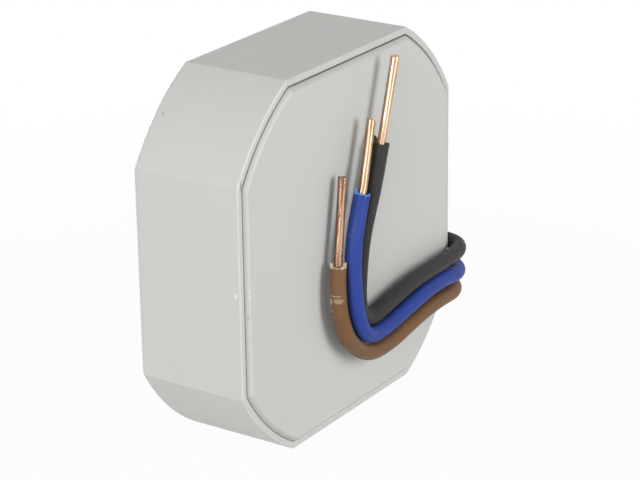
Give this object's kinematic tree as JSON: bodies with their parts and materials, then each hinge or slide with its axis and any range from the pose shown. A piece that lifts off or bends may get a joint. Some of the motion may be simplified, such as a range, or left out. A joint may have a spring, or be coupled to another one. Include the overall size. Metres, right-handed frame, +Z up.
{
  "type": "staircase timer switch",
  "caption": "Square flush-box timer module with rounded corners, an inset cover, a sunk time dial at the back and stripped solid leads folded over the rim.",
  "frame": {"origin": "middle of the bottom flat, under the middle of the case's depth", "axes": "+Z up as it stands, -Y out of the cover, +X towards the side where the leads come out"},
  "size_m": [0.0503, 0.02, 0.048],
  "materials": {
    "case_plastic": "fine satin, light warm grey",
    "cover_plastic": "fine satin, light warm grey",
    "knob_plastic": "satin white",
    "board": "green solder mask over glass fibre",
    "solder": "bright tin solder",
    "black_sleeve": "soft PVC, satin black",
    "blue_sleeve": "soft PVC, satin blue",
    "brown_sleeve": "soft PVC, satin brown",
    "copper": "drawn bare copper",
    "winding": "enamelled copper wire",
    "relay_shell": "moulded black",
    "relay_moulding": "moulded dark grey",
    "bobbin_moulding": "natural nylon",
    "iron": "nickel plated iron",
    "spring_bronze": "bronze strip",
    "contact_silver": "silver alloy",
    "tinned_legs": "tinned wire",
    "film_case": "moulded yellow box",
    "can_sleeve": "dark shrink sleeve on an aluminium can",
    "bung_rubber": "black rubber",
    "varistor_coating": "dipped blue epoxy",
    "resistor_coating": "flameproof grey green lacquer",
    "diode_moulding": "black epoxy",
    "zener_glass": "orange tinted glass",
    "chip_epoxy": "black epoxy",
    "chip_resistor_body": "black glaze on ceramic",
    "chip_capacitor_body": "tan ceramic",
    "trimmer_plastic": "blue moulding",
    "rotor_plastic": "white moulding"
  },
  "bodies": {
    "case": {"housing": "case_plastic", "cover": "cover_plastic", "circuit_board": "board", "solder_cones": "solder", "lead_solder": "solder", "black_insulation": "black_sleeve", "blue_insulation": "blue_sleeve", "brown_insulation": "brown_sleeve", "black_conductor": "copper", "blue_conductor": "copper", "brown_conductor": "copper", "relay_case": "relay_shell", "relay_base": "relay_moulding", "relay_bobbin": "bobbin_moulding", "relay_coil": "winding", "relay_coil_pins": "tinned_legs", "relay_yoke": "iron", "relay_core": "iron", "relay_fixed_contact": "contact_silver", "relay_fixed_terminal": "spring_bronze", "film_capacitor": "film_case", "film_capacitor_legs": "tinned_legs", "electrolytic_capacitor": "can_sleeve", "electrolytic_bung": "bung_rubber", "electrolytic_legs": "tinned_legs", "varistor": "varistor_coating", "varistor_legs": "tinned_legs", "fusible_resistor": "resistor_coating", "fusible_resistor_legs": "tinned_legs", "rectifier_diodes": "diode_moulding", "rectifier_diode_legs": "tinned_legs", "zener_diode": "zener_glass", "zener_diode_legs": "tinned_legs", "control_chip": "chip_epoxy", "control_chip_legs": "tinned_legs", "driver_transistor": "chip_epoxy", "driver_transistor_legs": "tinned_legs", "chip_resistors": "chip_resistor_body", "chip_capacitors": "chip_capacitor_body", "chip_end_caps": "tinned_legs", "trimmer_body": "trimmer_plastic", "trimmer_pins": "tinned_legs"},
    "time_knob": {"time_knob": "knob_plastic", "trimmer_rotor": "rotor_plastic"},
    "armature": {"relay_armature": "iron", "relay_contact_leaf": "spring_bronze", "relay_moving_contact": "contact_silver"}
  },
  "joints": [
    {"name": "time_knob_turn", "type": "hinge", "parent": "case", "child": "time_knob", "pos_m": [0.012, 0, 0.027], "axis": [0, 1, 0], "range_deg": [-120, 120]},
    {"name": "armature_pull_in", "type": "hinge", "parent": "case", "child": "armature", "pos_m": [-0.0112, 0.0041, 0.0354], "axis": [0, 0, -1], "range_deg": [0, 3], "stiffness_Nm_per_rad": 0.02, "springref_deg": -1.15}
  ]
}
